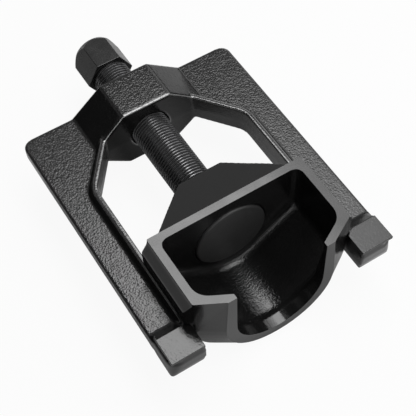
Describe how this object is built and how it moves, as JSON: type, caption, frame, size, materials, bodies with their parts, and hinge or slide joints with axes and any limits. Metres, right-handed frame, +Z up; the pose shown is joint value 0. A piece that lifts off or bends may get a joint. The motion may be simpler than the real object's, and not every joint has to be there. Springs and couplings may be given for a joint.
{
  "type": "universal joint puller",
  "caption": "Black cast bridge puller with two legs, a receiver cup sliding between them on the frame's ribs, and a hex-headed forcing screw that drives the cup toward the leg ends.",
  "frame": {"origin": "centre of the bounding box in plan, at the lowest point of the receiver cup", "axes": "+Y along the screw axis toward its hex head, +Z up out of the cup's open side, +X across the legs"},
  "size_m": [0.1524, 0.2309, 0.0694],
  "materials": {
    "cast_black": "sand-cast steel under semi-gloss black paint",
    "receiver_black": "cast steel under satin black paint",
    "black_oxide": "machined steel with a black oxide coat",
    "ground_steel": "bare ground steel"
  },
  "bodies": {
    "frame": {"bridge_frame": "cast_black"},
    "receiver": {"receiver_cup": "receiver_black", "thrust_button": "black_oxide", "retaining_pin_left": "ground_steel", "retaining_pin_right": "ground_steel"},
    "screw": {"forcing_screw": "black_oxide"}
  },
  "joints": [
    {"name": "receiver_slide", "type": "slide", "parent": "frame", "child": "receiver", "axis": [0, -1, 0], "range_m": [-0.0517, 0.0192]},
    {"name": "screw_turn", "type": "hinge", "parent": "receiver", "child": "screw", "pos_m": [0, 0, 0.0364], "axis": [0, -1, 0], "range_deg": [-8800, 3280]}
  ],
  "couplings": [
    {"joint": "screw_turn", "follows": "receiver_slide", "rad_per_m": 2968.4}
  ]
}
